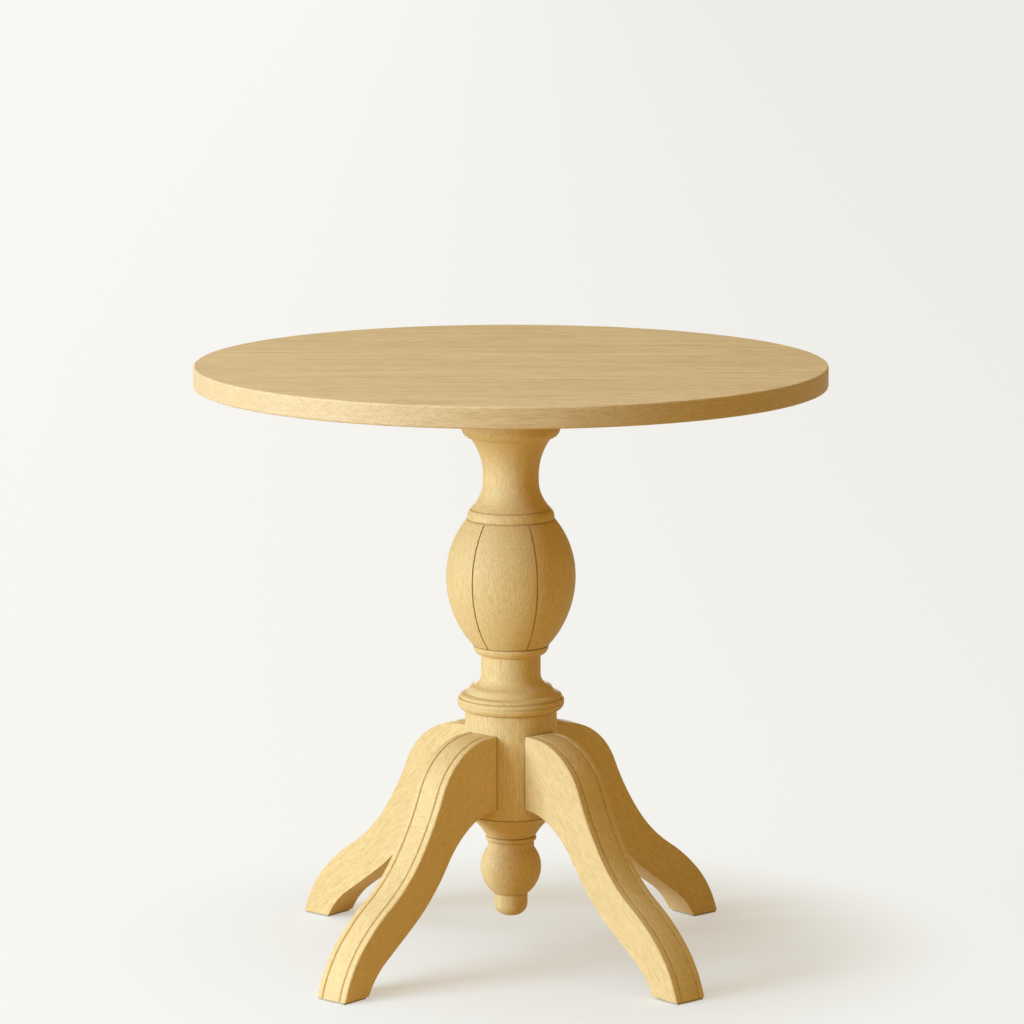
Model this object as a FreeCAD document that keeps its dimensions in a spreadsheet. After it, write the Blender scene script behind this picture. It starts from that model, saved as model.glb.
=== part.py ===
# Round wine table of pale wood: a boarded top, a bearer, a turned column, four carved legs and a finial.
# Millimetres, +Z up, front towards -Y, origin on the floor under the column's axis.
import FreeCAD, Part
import math
import os
from types import SimpleNamespace

import Sketcher

SIZES = {
    # Boarded top
    "top_diameter": 600,
    "top_thickness": 20,
    "rim_easing": 1.5,
    "rim_facet_share": 0.3,
    "board_width": 150,
    "tongue_thickness": 6,
    "tongue_width": 18,
    "tongue_end_cover": 36,
    # Bearer under the boards
    "bearer_end_margin": 32,
    "bearer_width": 110,
    "bearer_thickness": 26,
    "bearer_end_thickness": 10,
    "bearer_flat_length": 190,
    # Screws and washers of the bearer
    "screw_radius": 2.25,
    "screw_bite": 13,
    "screw_tip_length": 4,
    "screw_head_radius": 4.5,
    "screw_head_height": 3,
    "screw_seat_thickness": 8,
    "screw_spread": 64,
    "screw_joint_distance": 28,
    "screw_hole_radius": 2.75,
    "screw_slot_travel": 5,
    "washer_radius": 6,
    "washer_thickness": 1,
    "recess_radius": 7,
    # Column, from the hub's underside to the shoulder under the bearer
    "hub_underside_height": 148,
    "hub_radius": 44,
    "hub_height": 90,
    "torus_foot_radius": 45.3,
    "torus_radius": 51,
    "torus_lower_height": 6.8,
    "roll_height": 3.9,
    "roll_curve_radius": 4,
    "roll_top_radius": 49.8,
    "torus_upper_radius": 49,
    "torus_upper_height": 3,
    "torus_top_radius": 46.3,
    "torus_ledge_rise": 0.8,
    "scotia_slope_radius": 42.3,
    "scotia_slope_height": 6.4,
    "scotia_foot_radius": 38.8,
    "scotia_height": 11.3,
    "lower_neck_radius": 28.5,
    "lower_neck_height": 19,
    "lower_ring_radius": 36.2,
    "lower_ring_height": 10,
    "bulb_foot_radius": 36.8,
    "bulb_radius": 61.8,
    "bulb_lower_height": 66,
    "bulb_upper_height": 54.5,
    "bulb_top_radius": 42.5,
    "bead_radius": 41.6,
    "bead_height": 10.9,
    "bead_curve_radius": 12,
    "bead_top_radius": 39.3,
    "neck_foot_radius": 38.1,
    "neck_radius": 26.6,
    "neck_lower_height": 26.6,
    "neck_middle_height": 5,
    "neck_upper_height": 36,
    "capital_foot_radius": 38.5,
    "capital_radius": 47,
    "capital_height": 9.5,
    "capital_fillet_radius": 48.2,
    "capital_fillet_height": 15.5,
    "tenon_radius": 22.5,
    "tenon_setback": 1,
    "quirk_depth": 1.3,
    "quirk_height": 1.4,
    "fine_line_depth": 0.9,
    "fine_line_height": 0.9,
    # Incised lines of the bulb
    "line_width": 1.5,
    "line_depth": 1.2,
    "line_first_angle": 54,
    # Tenon wedge
    "wedge_depth": 17,
    "wedge_head_thickness": 4.4,
    "wedge_tip_thickness": 1.6,
    "wedge_length": 40,
    # Legs
    "front_leg_angle": 41,
    "back_leg_angle": 50,
    "leg_reach": 255,
    "leg_width": 36,
    "root_height": 72,
    "foot_length": 33.5,
    "strip_width": 6,
    "strip_drop": 0.9,
    "band_crown": 0.6,
    "groove_width": 2.4,
    "groove_depth": 1.5,
    "arris_size": 0.9,
    "dovetail_depth": 14,
    "dovetail_neck_width": 14,
    "dovetail_tail_width": 20,
    "housing_stop": 9,
    # Finial, from its top disc down
    "finial_disc_height": 10.5,
    "cone_foot_radius": 24,
    "cone_height": 21.1,
    "cone_curve_radius": 70,
    "ring_radius": 24.6,
    "ring_half_height": 1.9,
    "finial_neck_radius": 22.3,
    "finial_neck_height": 7.3,
    "ball_radius": 29.1,
    "ball_upper_height": 19,
    "ball_lower_height": 25.2,
    "ball_foot_radius": 17.4,
    "peg_radius": 16.1,
    "peg_height": 9.5,
    "peg_end_radius": 7,
    "peg_end_height": 11.4,
    "dowel_screw_radius": 4,
    "dowel_screw_half_length": 26,
    "dowel_screw_point": 5,
    # Felt pads
    "pad_thickness": 2,
    "pad_inset": 2,
    # Clearances, and how far a cut runs past the wood
    "fit_clearance": 0.1,
    "end_clearance": 0.5,
    "overrun": 5,
    # Points of the leg's curves, as shares of its reach past the hub and of its rise to the root's top
    "crest_start_u_share": 0.03,
    "knee_u_share": 0.352,
    "knee_z_share": 0.795,
    "shin_u_share": 0.505,
    "shin_z_share": 0.538,
    "ankle_u_share": 0.695,
    "ankle_z_share": 0.368,
    "instep_u_share": 0.87,
    "instep_z_share": 0.228,
    "under_root_u_share": 0.134,
    "under_root_z_share": 0.642,
    "under_knee_u_share": 0.314,
    "under_knee_z_share": 0.49,
    "under_shin_u_share": 0.552,
    "under_shin_z_share": 0.255,
    "under_ankle_u_share": 0.72,
    "under_ankle_z_share": 0.141,
    "blank_inner_share": 0.8,
    "blank_spare_share": 0.25,
}

RIGHT_ANGLE = 90
FULL_TURN = 360
LINE = "line"
SMOOTH = "arc tangent to the edge before it"
PLUMB_START = "arc that starts plumb"
PLUMB_END = "arc that ends plumb"
CENTRE_LEFT = 1
BULB_LINES = 6

doc = FreeCAD.newDocument("wine_table")
sheet = doc.addObject("Spreadsheet::Sheet", "dims")
for row, (alias, number) in enumerate(SIZES.items(), start=1):
    sheet.set(f"A{row}", alias)
    sheet.set(f"B{row}", str(number))
    sheet.setAlias(f"B{row}", alias)
doc.recompute()


class Size:
    """A number together with the sheet expression that gives it."""

    def __init__(self, value, text):
        self.value = value
        self.text = text

    def joined(self, sign, other, value):
        return Size(value, f"({self.text} {sign} {other.text})")

    def __add__(self, other):
        other = as_size(other)
        return self.joined("+", other, self.value + other.value)

    def __sub__(self, other):
        other = as_size(other)
        return self.joined("-", other, self.value - other.value)

    def __mul__(self, other):
        other = as_size(other)
        return self.joined("*", other, self.value * other.value)

    def __truediv__(self, other):
        other = as_size(other)
        return self.joined("/", other, self.value / other.value)

    def __neg__(self):
        return Size(-self.value, f"(0 - {self.text})")

    __radd__ = __add__
    __rmul__ = __mul__

    def __rsub__(self, other):
        return as_size(other) - self


def as_size(number):
    """Gives a plain number the form of a Size."""
    return number if isinstance(number, Size) else Size(number, str(number))


dim = SimpleNamespace(**{alias: Size(float(getattr(sheet, alias)), f"dims.{alias}") for alias in SIZES})


# Documents, sketches and features

def new_body(label):
    """Adds an empty body with its own label."""
    body = doc.addObject("PartDesign::Body", label)
    body.Label = label
    return body


def place(item, x=0, y=0, z=0, turn=0):
    """Ties an object's placement to the sheet: a turn about Z, then a shift."""
    x, y, z, turn = as_size(x), as_size(y), as_size(z), as_size(turn)
    shift = f"vector({x.text}; {y.text}; {z.text})"
    item.setExpression("Placement", f"placement({shift}; rotation(vector(0; 0; 1); {turn.text}))")


def origin_part(body, role):
    """Finds a plane or axis of the body's own origin."""
    return next(item for item in body.Origin.OriginFeatures if item.Role == role)


def new_sketch(body, name, plane, lift=0, turn=0, turn_axis="0; 0; 1"):
    """Adds a sketch on an origin plane, lifted along its normal and turned about an axis of the sketch."""
    sketch = body.newObject("Sketcher::SketchObject", name)
    sketch.AttachmentSupport = [(origin_part(body, plane), "")]
    sketch.MapMode = "FlatFace"
    lift, turn = as_size(lift), as_size(turn)
    move = f"placement(vector(0; 0; {lift.text}); rotation(vector({turn_axis}); {turn.text}))"
    sketch.setExpression("AttachmentOffset", move)
    return sketch


def tie(sketch, kind, elements, size):
    """Adds a dimension to a sketch and binds it to the sheet."""
    index = sketch.addConstraint(Sketcher.Constraint(kind, *elements, size.value))
    sketch.setExpression(f"Constraints[{index}]", size.text)


def pin(sketch, edge, end, x, y):
    """Holds one end of an edge at a point, measured from the sketch's origin."""
    for size, kind, axis in ((as_size(x), "DistanceX", -2), (as_size(y), "DistanceY", -1)):
        if size.value == 0:
            sketch.addConstraint(Sketcher.Constraint("PointOnObject", edge, end, axis))
        elif size.value > 0:
            tie(sketch, kind, (-1, 1, edge, end), size)
        else:
            tie(sketch, kind, (edge, end, -1, 1), -size)


def arc_centre(first, last, kind, heading):
    """Works out the centre of an arc from its ends and from what its kind asks of it."""
    chord = last - first
    if isinstance(kind, tuple):
        radius, side = kind
        half = chord.Length / 2
        left = FreeCAD.Vector(-chord.y, chord.x, 0).normalize()
        return (first + last) / 2 + left * side * math.sqrt(radius.value ** 2 - half ** 2)
    if kind == PLUMB_START:
        reach = (chord.x ** 2 + chord.y ** 2) / (2 * chord.x)
        return first + FreeCAD.Vector(reach, 0, 0)
    if kind == PLUMB_END:
        reach = (chord.x ** 2 + chord.y ** 2) / (2 * chord.x)
        return last - FreeCAD.Vector(reach, 0, 0)
    left = FreeCAD.Vector(-heading.y, heading.x, 0)
    return first + left * (chord.Length ** 2 / (2 * chord.dot(left)))


def add_edge(sketch, first, last, kind, heading):
    """Adds one line or arc. Gives its number, the numbers of its two ends, and the heading at its end."""
    if kind == LINE:
        return sketch.addGeometry(Part.LineSegment(first, last)), 1, 2, (last - first).normalize()
    centre = arc_centre(first, last, kind, heading)
    out, back = first - centre, last - centre
    leftward = out.cross(back).z > 0
    start, stop = (out, back) if leftward else (back, out)
    start_angle = math.atan2(start.y, start.x)
    stop_angle = math.atan2(stop.y, stop.x)
    if stop_angle < start_angle:
        stop_angle += math.radians(FULL_TURN)
    circle = Part.Circle(centre, FreeCAD.Vector(0, 0, 1), out.Length)
    number = sketch.addGeometry(Part.ArcOfCircle(circle, start_angle, stop_angle))
    along = FreeCAD.Vector(-back.y, back.x, 0).normalize()
    return (number, 1, 2, along) if leftward else (number, 2, 1, -along)


def draw(sketch, corners, closed=True):
    """Draws a chain of corners (x, y, kind), each kind being the edge that leads on to the next corner."""
    points = [FreeCAD.Vector(as_size(x).value, as_size(y).value, 0) for x, y, kind in corners]
    count = len(corners) if closed else len(corners) - 1
    heading = None
    edges = []
    for index in range(count):
        following = points[(index + 1) % len(points)]
        edge = add_edge(sketch, points[index], following, corners[index][2], heading)
        heading = edge[3]
        edges.append(edge)
    for index, (number, start, stop, heading) in enumerate(edges):
        x, y, kind = corners[index]
        pin(sketch, number, start, x, y)
        if index > 0 or closed:
            before = edges[index - 1]
            joint = "Tangent" if kind == SMOOTH else "Coincident"
            sketch.addConstraint(Sketcher.Constraint(joint, before[0], before[2], number, start))
        if isinstance(kind, tuple):
            tie(sketch, "Radius", (number,), kind[0])
        elif kind in (PLUMB_START, PLUMB_END):
            end = start if kind == PLUMB_START else stop
            sketch.addConstraint(Sketcher.Constraint("Horizontal", number, 3, number, end))
    if not closed:
        pin(sketch, edges[-1][0], edges[-1][2], corners[-1][0], corners[-1][1])
    return sketch


def draw_circles(sketch, centres, radius):
    """Draws equal circles, each centre tied to the sheet."""
    for x, y in centres:
        middle = FreeCAD.Vector(as_size(x).value, as_size(y).value, 0)
        number = sketch.addGeometry(Part.Circle(middle, FreeCAD.Vector(0, 0, 1), radius.value))
        pin(sketch, number, 3, x, y)
        tie(sketch, "Radius", (number,), radius)
    return sketch


def draw_box(sketch, low_x, high_x, low_y, high_y):
    """Draws a rectangle between two pairs of limits."""
    corners = [(low_x, low_y, LINE), (high_x, low_y, LINE), (high_x, high_y, LINE), (low_x, high_y, LINE)]
    return draw(sketch, corners)


def pad(body, sketch, length, symmetric=False):
    """Thickens a sketch along its normal, or to both sides of it."""
    feature = body.newObject("PartDesign::Pad", f"{sketch.Name}_pad")
    feature.Profile = sketch
    feature.SideType = "Symmetric" if symmetric else "One side"
    feature.setExpression("Length", length.text)
    doc.recompute()
    return feature


def pocket(body, sketch, length=None, symmetric=False, upward=False):
    """Cuts a sketch into the body, right through both ways where no length is given."""
    before = body.Shape.Volume
    feature = body.newObject("PartDesign::Pocket", f"{sketch.Name}_cut")
    feature.Profile = sketch
    feature.SideType = "Symmetric" if symmetric or length is None else "One side"
    feature.Reversed = upward
    if length is None:
        feature.Type = "ThroughAll"
    else:
        feature.setExpression("Length", length.text)
    doc.recompute()
    if not body.Shape.Volume < before:
        raise RuntimeError(f"{sketch.Name} cuts nothing from {body.Label}")
    return feature


def revolve(body, sketch):
    """Turns a sketch once about its own upright axis."""
    feature = body.newObject("PartDesign::Revolution", f"{sketch.Name}_turning")
    feature.Profile = sketch
    feature.ReferenceAxis = (sketch, ["V_Axis"])
    feature.Angle = FULL_TURN
    doc.recompute()
    return feature


def turned(label, corners):
    """Makes a turned body from its outline."""
    body = new_body(label)
    revolve(body, draw(new_sketch(body, f"{label}_outline", "XZ_Plane"), corners))
    return body


def quirk(radius, height, depth, rise):
    """Gives the two corners of a small V cut at a joint of two mouldings, from its lip to its bottom."""
    return [(radius, height, LINE), (radius - depth, height + rise / 2, LINE)]


# Column

bulb_foot = (
    dim.hub_height + dim.torus_lower_height + dim.roll_height + dim.fine_line_height * 2
    + dim.torus_upper_height + dim.torus_ledge_rise + dim.scotia_slope_height + dim.scotia_height
    + dim.lower_neck_height + dim.lower_ring_height
)
bulb_middle = bulb_foot + dim.bulb_lower_height
bulb_top = bulb_middle + dim.bulb_upper_height
column_height = (
    bulb_top + dim.bead_height + dim.neck_lower_height + dim.neck_middle_height + dim.neck_upper_height
    + dim.capital_height + dim.capital_fillet_height
)
tenon_top = column_height + dim.bearer_thickness - dim.tenon_setback
boards_underside = dim.hub_underside_height + column_height + dim.bearer_thickness

LEG_TURNS = {
    "front_left": 3 * RIGHT_ANGLE - dim.front_leg_angle,
    "front_right": 3 * RIGHT_ANGLE + dim.front_leg_angle,
    "back_left": RIGHT_ANGLE + dim.back_leg_angle,
    "back_right": RIGHT_ANGLE - dim.back_leg_angle,
}


def column_outline():
    """Lists the column's outline from the hub's underside to the tenon's top."""
    depth, rise = dim.quirk_depth, dim.quirk_height
    fine_depth, fine_rise = dim.fine_line_depth, dim.fine_line_height
    level = dim.hub_height
    corners = [(0, 0, LINE), (dim.hub_radius, 0, LINE), (dim.hub_radius, level, LINE)]
    corners.append((dim.torus_foot_radius, level, PLUMB_END))
    level = level + dim.torus_lower_height
    corners += quirk(dim.torus_radius, level, fine_depth, fine_rise)
    level = level + fine_rise
    corners.append((dim.torus_radius, level, (dim.roll_curve_radius, CENTRE_LEFT)))
    level = level + dim.roll_height
    corners += quirk(dim.roll_top_radius, level, fine_depth, fine_rise)
    level = level + fine_rise
    corners.append((dim.torus_upper_radius, level, PLUMB_START))
    level = level + dim.torus_upper_height
    corners.append((dim.torus_top_radius, level, LINE))
    level = level + dim.torus_ledge_rise
    corners.append((dim.scotia_slope_radius, level, LINE))
    level = level + dim.scotia_slope_height
    corners.append((dim.scotia_foot_radius, level, PLUMB_END))
    level = level + dim.scotia_height
    corners.append((dim.lower_neck_radius, level, LINE))
    level = level + dim.lower_neck_height
    corners.append((dim.lower_neck_radius, level, PLUMB_END))
    corners += quirk(dim.lower_ring_radius, bulb_foot - rise, depth, rise)
    corners.append((dim.bulb_foot_radius, bulb_foot, PLUMB_END))
    corners.append((dim.bulb_radius, bulb_middle, PLUMB_START))
    corners += quirk(dim.bulb_top_radius, bulb_top, depth, rise)
    corners.append((dim.bead_radius, bulb_top + rise, (dim.bead_curve_radius, CENTRE_LEFT)))
    level = bulb_top + dim.bead_height
    corners += quirk(dim.bead_top_radius, level - rise, depth, rise)
    corners.append((dim.neck_foot_radius, level, PLUMB_END))
    level = level + dim.neck_lower_height
    corners.append((dim.neck_radius, level, LINE))
    level = level + dim.neck_middle_height
    corners.append((dim.neck_radius, level, PLUMB_START))
    level = level + dim.neck_upper_height
    corners.append((dim.capital_foot_radius, level, PLUMB_END))
    level = level + dim.capital_height
    corners.append((dim.capital_radius, level, LINE))
    corners.append((dim.capital_fillet_radius, level, LINE))
    corners.append((dim.capital_fillet_radius, column_height, LINE))
    corners.append((dim.tenon_radius, column_height, LINE))
    corners.append((dim.tenon_radius, tenon_top, LINE))
    corners.append((0, tenon_top, LINE))
    return corners


def bulb_lines(body):
    """Cuts the bulb's incised lines, evenly spaced round it."""
    inner = dim.bulb_radius - dim.line_depth
    outer = dim.bulb_radius + dim.overrun
    sketch = new_sketch(body, "bulb_line", "XZ_Plane", turn=dim.line_first_angle, turn_axis="0; 1; 0")
    draw(sketch, [
        (dim.bulb_foot_radius - dim.line_depth, bulb_foot, PLUMB_END),
        (inner, bulb_middle, PLUMB_START),
        (dim.bulb_top_radius - dim.line_depth, bulb_top, LINE),
        (outer, bulb_top, LINE),
        (outer, bulb_foot, LINE),
    ])
    cut = pocket(body, sketch, dim.line_width, symmetric=True)
    pattern = body.newObject("PartDesign::PolarPattern", "bulb_lines_round")
    pattern.Originals = [cut]
    pattern.Axis = (origin_part(body, "Z_Axis"), [""])
    pattern.Angle = FULL_TURN
    pattern.Occurrences = BULB_LINES
    body.Tip = pattern
    doc.recompute()


def dovetail(clearance, outer):
    """Lists the corners of a dovetail in plan, wide at its inner end, grown by a clearance."""
    tail = dim.dovetail_tail_width / 2 + clearance
    neck = dim.dovetail_neck_width / 2 + clearance
    inner = dim.hub_radius - dim.dovetail_depth - clearance
    return [
        (inner, -tail, LINE), (dim.hub_radius, -neck, LINE), (outer, -neck, LINE),
        (outer, neck, LINE), (dim.hub_radius, neck, LINE), (inner, tail, LINE),
    ]


def wedge_corners(clearance):
    """Lists the corners of the tenon's wedge, seen from its end, grown by a clearance."""
    head = dim.wedge_head_thickness / 2 + clearance
    tip = dim.wedge_tip_thickness / 2 + clearance
    low = tenon_top - dim.wedge_depth - clearance
    return [(-tip, low, LINE), (tip, low, LINE), (head, tenon_top, LINE), (-head, tenon_top, LINE)]


def make_column():
    """Turns the column, then cuts its bulb lines, leg housings, wedge kerf and dowel-screw bore."""
    body = turned("column", column_outline())
    bulb_lines(body)
    housing_height = dim.root_height - dim.housing_stop + dim.end_clearance
    for side, turn in LEG_TURNS.items():
        sketch = new_sketch(body, f"housing_{side}", "XY_Plane", turn=turn)
        draw(sketch, dovetail(dim.fit_clearance, dim.hub_radius + dim.overrun))
        pocket(body, sketch, housing_height, upward=True)
    kerf = draw(new_sketch(body, "wedge_kerf", "XZ_Plane"), wedge_corners(dim.fit_clearance))
    pocket(body, kerf, (dim.tenon_radius + dim.overrun) * 2, symmetric=True)
    bore = new_sketch(body, "dowel_screw_bore", "XY_Plane")
    draw_circles(bore, [(0, 0)], dim.dowel_screw_radius + dim.fit_clearance)
    pocket(body, bore, dim.dowel_screw_half_length + dim.end_clearance, upward=True)
    place(body, z=dim.hub_underside_height)
    return body


def make_tenon_wedge():
    """Makes the wedge that spreads the tenon in the bearer."""
    body = new_body("tenon_wedge")
    sketch = draw(new_sketch(body, "wedge_end", "XZ_Plane"), wedge_corners(as_size(0)))
    pad(body, sketch, dim.wedge_length, symmetric=True)
    place(body, z=dim.hub_underside_height)
    return body


# Legs

root_bottom = dim.hub_underside_height
root_top = root_bottom + dim.root_height
leg_run = dim.leg_reach - dim.hub_radius
crest_start = dim.hub_radius + leg_run * dim.crest_start_u_share
CREST = ("knee", "shin", "ankle", "instep")


def leg_point(name):
    """Gives a point of the leg's curves, from its shares of the leg's run and rise."""
    run = getattr(dim, f"{name}_u_share")
    rise = getattr(dim, f"{name}_z_share")
    return dim.hub_radius + leg_run * run, root_top * rise


def leg_blank(body):
    """Saws the blank: the finished underside, and a rough line a little outside the crest."""
    inner = dim.hub_radius * dim.blank_inner_share
    spare = dim.root_height * dim.blank_spare_share
    corners = [(inner, root_bottom, LINE), (dim.hub_radius, root_bottom, SMOOTH)]
    for name in ("under_root", "under_knee", "under_shin", "under_ankle"):
        corners.append((*leg_point(name), SMOOTH))
    corners.append((dim.leg_reach - dim.foot_length, dim.pad_thickness, LINE))
    corners.append((dim.leg_reach, dim.pad_thickness, LINE))
    corners.append((dim.leg_reach + dim.overrun, dim.pad_thickness + dim.overrun, LINE))
    for name in reversed(CREST):
        u, z = leg_point(name)
        corners.append((u + spare, z + spare, LINE))
    corners.append((crest_start + spare, root_top + dim.overrun, LINE))
    corners.append((inner, root_top + dim.overrun, LINE))
    sketch = draw(new_sketch(body, "blank_side", "XZ_Plane"), corners)
    pad(body, sketch, dim.leg_width, symmetric=True)


def leg_crest(body):
    """Shapes the top of the leg along its crest: a crowned band between two grooves, and two edge strips."""
    inner = dim.hub_radius * dim.blank_inner_share - dim.overrun
    corners = [(inner, root_top, LINE), (crest_start, root_top, SMOOTH)]
    for name in CREST:
        corners.append((*leg_point(name), SMOOTH))
    corners.append((dim.leg_reach, 0, LINE))
    path = draw(new_sketch(body, "crest_path", "XZ_Plane"), corners, closed=False)

    edge = dim.leg_width / 2
    outer_lip = edge - dim.strip_width
    groove = outer_lip - dim.groove_width / 2
    inner_lip = outer_lip - dim.groove_width
    band = root_top - dim.band_crown
    half = [
        (inner_lip, band),
        (groove, band - dim.groove_depth),
        (outer_lip, band),
        (edge - dim.arris_size, root_top - dim.strip_drop),
        (edge, root_top - dim.strip_drop - dim.arris_size),
        (edge + dim.overrun, root_top - dim.strip_drop - dim.arris_size),
    ]
    above = root_top + dim.root_height
    right = [(y, z, LINE) for y, z in half]
    left = [(-y, z, LINE) for y, z in reversed(half)]
    section = left + [(0, root_top, LINE)] + right
    section += [(edge + dim.overrun, above, LINE), (-edge - dim.overrun, above, LINE)]
    profile = draw(new_sketch(body, "crest_section", "YZ_Plane", lift=inner), section)

    before = body.Shape.Volume
    cut = body.newObject("PartDesign::SubtractivePipe", "crest_cut")
    cut.Profile = profile
    cut.Spine = path
    doc.recompute()
    if not body.Shape.Volume < before:
        raise RuntimeError(f"the crest cuts nothing from {body.Label}")


def make_leg(side):
    """Makes one leg: blank, crest, coped shoulder and dovetail tongue."""
    body = new_body(f"leg_{side}")
    leg_blank(body)
    leg_crest(body)
    cope = new_sketch(body, "shoulder_cope", "XY_Plane")
    pocket(body, draw_circles(cope, [(0, 0)], dim.hub_radius + dim.fit_clearance))
    tongue = new_sketch(body, "dovetail_tongue", "XY_Plane", lift=root_bottom)
    draw(tongue, dovetail(as_size(0), dim.hub_radius + dim.overrun))
    pad(body, tongue, dim.root_height - dim.housing_stop)
    place(body, turn=LEG_TURNS[side])
    return body


def make_foot_pad(side):
    """Makes the felt pad under one foot, set in from the foot's edges."""
    body = new_body(f"pad_{side}")
    heel = dim.leg_reach - dim.foot_length + dim.pad_inset
    half = dim.leg_width / 2 - dim.pad_inset
    sketch = new_sketch(body, "felt_outline", "XY_Plane")
    draw_box(sketch, heel, dim.leg_reach - dim.pad_inset, -half, half)
    pad(body, sketch, dim.pad_thickness)
    place(body, turn=LEG_TURNS[side])
    return body


# Finial

def finial_outline():
    """Lists the finial's outline from its top disc down to the peg's end."""
    depth, rise = dim.quirk_depth, dim.quirk_height
    level = -dim.finial_disc_height
    corners = [(0, 0, LINE), (dim.hub_radius, 0, LINE)]
    corners += quirk(dim.hub_radius, level, depth, -rise)
    level = level - rise
    corners.append((dim.hub_radius - depth / 2, level, (dim.cone_curve_radius, CENTRE_LEFT)))
    level = level - dim.cone_height
    corners += quirk(dim.cone_foot_radius, level, depth, -rise)
    level = level - rise
    corners.append((dim.cone_foot_radius, level, PLUMB_END))
    level = level - dim.ring_half_height
    corners.append((dim.ring_radius, level, PLUMB_START))
    level = level - dim.ring_half_height
    corners.append((dim.finial_neck_radius, level, LINE))
    level = level - dim.finial_neck_height
    corners.append((dim.finial_neck_radius, level, PLUMB_END))
    level = level - dim.ball_upper_height
    corners.append((dim.ball_radius, level, PLUMB_START))
    level = level - dim.ball_lower_height
    corners += quirk(dim.ball_foot_radius, level, depth, -rise)
    level = level - rise
    corners.append((dim.peg_radius, level, LINE))
    level = level - dim.peg_height
    corners.append((dim.peg_radius, level, PLUMB_START))
    level = level - dim.peg_end_height
    corners.append((dim.peg_end_radius, level, LINE))
    corners.append((0, level, LINE))
    return corners


def make_finial():
    """Turns the finial and bores it for the dowel screw."""
    body = turned("finial", finial_outline())
    bore = new_sketch(body, "finial_bore", "XY_Plane")
    draw_circles(bore, [(0, 0)], dim.dowel_screw_radius + dim.fit_clearance)
    pocket(body, bore, dim.dowel_screw_half_length + dim.end_clearance)
    place(body, z=dim.hub_underside_height)
    return body


def make_dowel_screw():
    """Makes the double-ended screw between the finial and the column."""
    half, point, radius = dim.dowel_screw_half_length, dim.dowel_screw_point, dim.dowel_screw_radius
    corners = [
        (0, -half, LINE), (radius / 2, -half, LINE), (radius, point - half, LINE),
        (radius, half - point, LINE), (radius / 2, half, LINE), (0, half, LINE),
    ]
    body = turned("finial_dowel_screw", corners)
    place(body, z=dim.hub_underside_height)
    return body


# Bearer, screws and washers

seat_level = -dim.screw_seat_thickness
inner_screw_offset = dim.board_width / 2
outer_screw_offset = dim.board_width + dim.screw_joint_distance


def screw_places(offset):
    """Lists the screws' places on both sides of the column, at one distance along the bearer."""
    half = dim.screw_spread / 2
    return [(x, y) for x in (-half, half) for y in (-offset, offset)]


ALL_SCREWS = screw_places(inner_screw_offset) + screw_places(outer_screw_offset)


def make_bearer():
    """Makes the bearer along Y, with tapered ends, the column's mortise and the screw recesses."""
    body = new_body("bearer")
    end, flat = outer_screw_offset + dim.bearer_end_margin, dim.bearer_flat_length / 2
    low, thin = -dim.bearer_thickness, -dim.bearer_end_thickness
    corners = [
        (-end, 0, LINE), (-end, thin, LINE), (-flat, low, LINE),
        (flat, low, LINE), (end, thin, LINE), (end, 0, LINE),
    ]
    pad(body, draw(new_sketch(body, "bearer_side", "YZ_Plane"), corners), dim.bearer_width, symmetric=True)
    mortise = new_sketch(body, "mortise", "XY_Plane")
    pocket(body, draw_circles(mortise, [(0, 0)], dim.tenon_radius + dim.fit_clearance))
    holes = new_sketch(body, "screw_holes", "XY_Plane")
    pocket(body, draw_circles(holes, screw_places(inner_screw_offset), dim.screw_hole_radius))
    half_travel = dim.screw_slot_travel / 2
    for index, (x, y) in enumerate(screw_places(outer_screw_offset)):
        slot = new_sketch(body, f"screw_slot_{index + 1}", "XY_Plane")
        wide = dim.screw_hole_radius
        draw(slot, [
            (x + wide, y - half_travel, LINE), (x + wide, y + half_travel, PLUMB_START),
            (x, y + half_travel + wide, PLUMB_END), (x - wide, y + half_travel, LINE),
            (x - wide, y - half_travel, PLUMB_START), (x, y - half_travel - wide, PLUMB_END),
        ])
        pocket(body, slot)
    recesses = new_sketch(body, "screw_recesses", "XY_Plane", lift=seat_level)
    pocket(body, draw_circles(recesses, ALL_SCREWS, dim.recess_radius), dim.bearer_thickness)
    place(body, z=boards_underside)
    return body


def grouped(label, corners):
    """Makes one turned solid at every screw's place and groups them under one label."""
    solids = []
    for index, (x, y) in enumerate(ALL_SCREWS):
        solid = turned(f"{label}_{index + 1}", corners)
        place(solid, x=x, y=y, z=boards_underside)
        solids.append(solid)
    group = doc.addObject("Part::Compound", label)
    group.Label = label
    group.Links = solids
    doc.recompute()
    return group


def make_bearer_screws():
    """Makes the bearer's screws, heads down, with plain shanks."""
    head_top = seat_level - dim.washer_thickness
    head_low = head_top - dim.screw_head_height
    rounding = dim.screw_head_height / 2
    return grouped("bearer_screws", [
        (0, head_low, LINE), (dim.screw_radius, head_low, PLUMB_END),
        (dim.screw_head_radius, head_low + rounding, LINE), (dim.screw_head_radius, head_top, LINE),
        (dim.screw_radius, head_top, LINE),
        (dim.screw_radius, dim.screw_bite - dim.screw_tip_length, LINE), (0, dim.screw_bite, LINE),
    ])


def make_bearer_washers():
    """Makes the washers under the screws' heads."""
    low = seat_level - dim.washer_thickness
    hole = dim.screw_radius + dim.fit_clearance
    return grouped("bearer_washers", [
        (hole, low, LINE), (dim.washer_radius, low, LINE),
        (dim.washer_radius, seat_level, LINE), (hole, seat_level, LINE),
    ])


# Boarded top

top_radius = dim.top_diameter / 2
tongue_slot = dim.tongue_thickness + dim.fit_clearance * 2


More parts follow.
